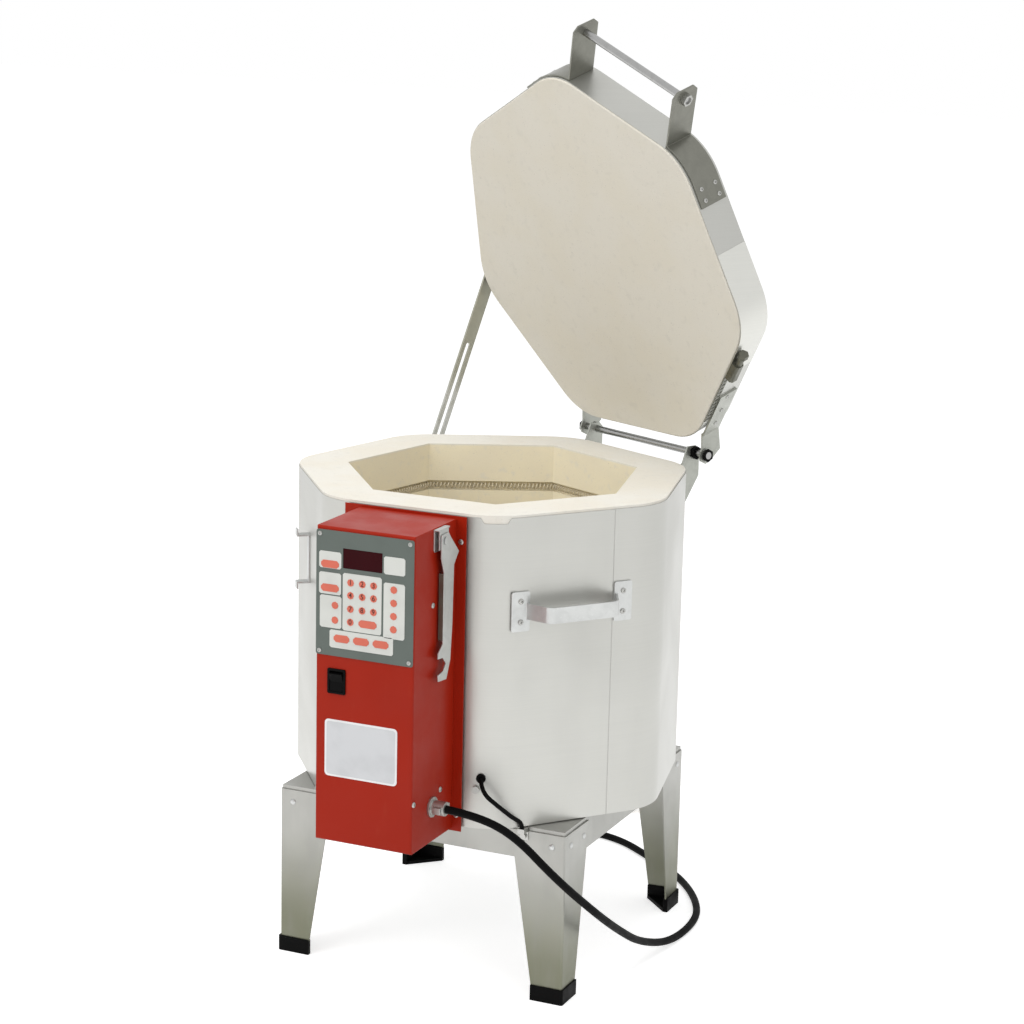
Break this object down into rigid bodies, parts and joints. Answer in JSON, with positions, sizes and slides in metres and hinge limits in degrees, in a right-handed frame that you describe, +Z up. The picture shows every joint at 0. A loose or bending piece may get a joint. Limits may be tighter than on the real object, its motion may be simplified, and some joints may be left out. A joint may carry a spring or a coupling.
{
  "type": "electric kiln",
  "caption": "Small top-loading electric pottery kiln on a four-legged stand, with its lid propped open, a control box on the front and a mains cord.",
  "frame": {"origin": "middle of the box round the kiln with its lid open and without its mains cord, on the floor", "axes": "+Z up; the control box faces -Y"},
  "size_m": [0.5776, 0.9013, 1.1951],
  "materials": {
    "firebrick": "matte, porous",
    "element_wire": "oxidised wire",
    "porcelain": "glazed",
    "stainless": "satin",
    "galvanised": "dull",
    "stand_steel": "satin grey",
    "chrome_rod": "polished",
    "dark_steel": "satin",
    "arm_steel": "satin",
    "screw_steel": "zinc plated",
    "red_paint": "powder coat",
    "face_plate": "matte film",
    "key_panel": "matte film",
    "display": "gloss",
    "board_green": "solder mask",
    "relay_case": "gloss",
    "core_steel": "lacquered",
    "phenolic": "moulded",
    "black_plastic": "moulded",
    "black_rubber": "matte",
    "brass": "bright"
  },
  "bodies": {
    "kiln": {"body_screws": "screw_steel", "bottom_pan": "galvanised", "box_back_plate": "red_paint", "box_cover": "red_paint", "brace_stud": "screw_steel", "brick_course_1": "firebrick", "brick_course_2": "firebrick", "brick_course_3": "firebrick", "carrying_handle": "galvanised", "circuit_board": "board_green", "cord_bracket": "galvanised", "cord_clamp": "galvanised", "display_module": "display", "earth_lead": "black_rubber", "faceplate": "face_plate", "floor_slab": "firebrick", "foot_back_left": "black_plastic", "foot_back_right": "black_plastic", "foot_front_left": "black_plastic", "foot_front_right": "black_plastic", "heating_elements": "element_wire", "hinge_collars": "dark_steel", "hinge_post_left": "galvanised", "hinge_post_right": "galvanised", "hinge_rod": "chrome_rod", "jacket": "stainless", "keypad": "key_panel", "lead_grommet": "black_rubber", "leg_back_left": "stand_steel", "leg_back_right": "stand_steel", "leg_front_left": "stand_steel", "leg_front_right": "stand_steel", "plug_blades": "brass", "porcelain_tubes": "porcelain", "power_cord": "black_rubber", "power_cord_coil": "black_rubber", "power_plug": "black_plastic", "power_relays": "relay_case", "spacers": "galvanised", "stand_rails": "stand_steel", "stand_rivets": "screw_steel", "switch_housing": "black_plastic", "terminal_blocks": "phenolic", "thermocouple": "porcelain", "transformer": "core_steel", "vent_prop_bracket": "galvanised"},
    "lid": {"band_clamp_screw": "screw_steel", "band_clamp_strap": "stainless", "lid_band": "stainless", "lid_bracket_left": "dark_steel", "lid_bracket_right": "dark_steel", "lid_handle_rod": "chrome_rod", "lid_screws_and_nuts": "screw_steel", "lid_slab": "firebrick", "lid_strap_left": "dark_steel", "lid_strap_right": "dark_steel", "lid_stud": "screw_steel"},
    "brace": {"brace_arm": "arm_steel"},
    "rocker": {"switch_rocker": "black_plastic"},
    "vent_prop": {"vent_prop_arm": "galvanised"}
  },
  "joints": [
    {"name": "lid_hinge", "type": "hinge", "parent": "kiln", "child": "lid", "pos_m": [0.07667, 0.25603, 0.6314], "axis": [-0.901, 0.4339, 0], "range_deg": [-71, 0]},
    {"name": "brace_pivot", "type": "hinge", "parent": "lid", "child": "brace", "pos_m": [-0.18112, 0.30842, 0.82804], "axis": [-0.901, 0.4339, 0], "range_deg": [0, 35.5]},
    {"name": "vent_prop_pivot", "type": "hinge", "parent": "kiln", "child": "vent_prop", "pos_m": [0.03461, -0.27243, 0.5979], "axis": [-1, 0, 0], "range_deg": [0, 150]},
    {"name": "power_switch_rocker", "type": "hinge", "parent": "kiln", "child": "rocker", "pos_m": [-0.07389, -0.33143, 0.4259], "axis": [1, 0, 0], "range_deg": [-18, 0]}
  ],
  "couplings": [
    {"joint": "brace_pivot", "follows": "lid_hinge", "ratio": -0.5}
  ]
}
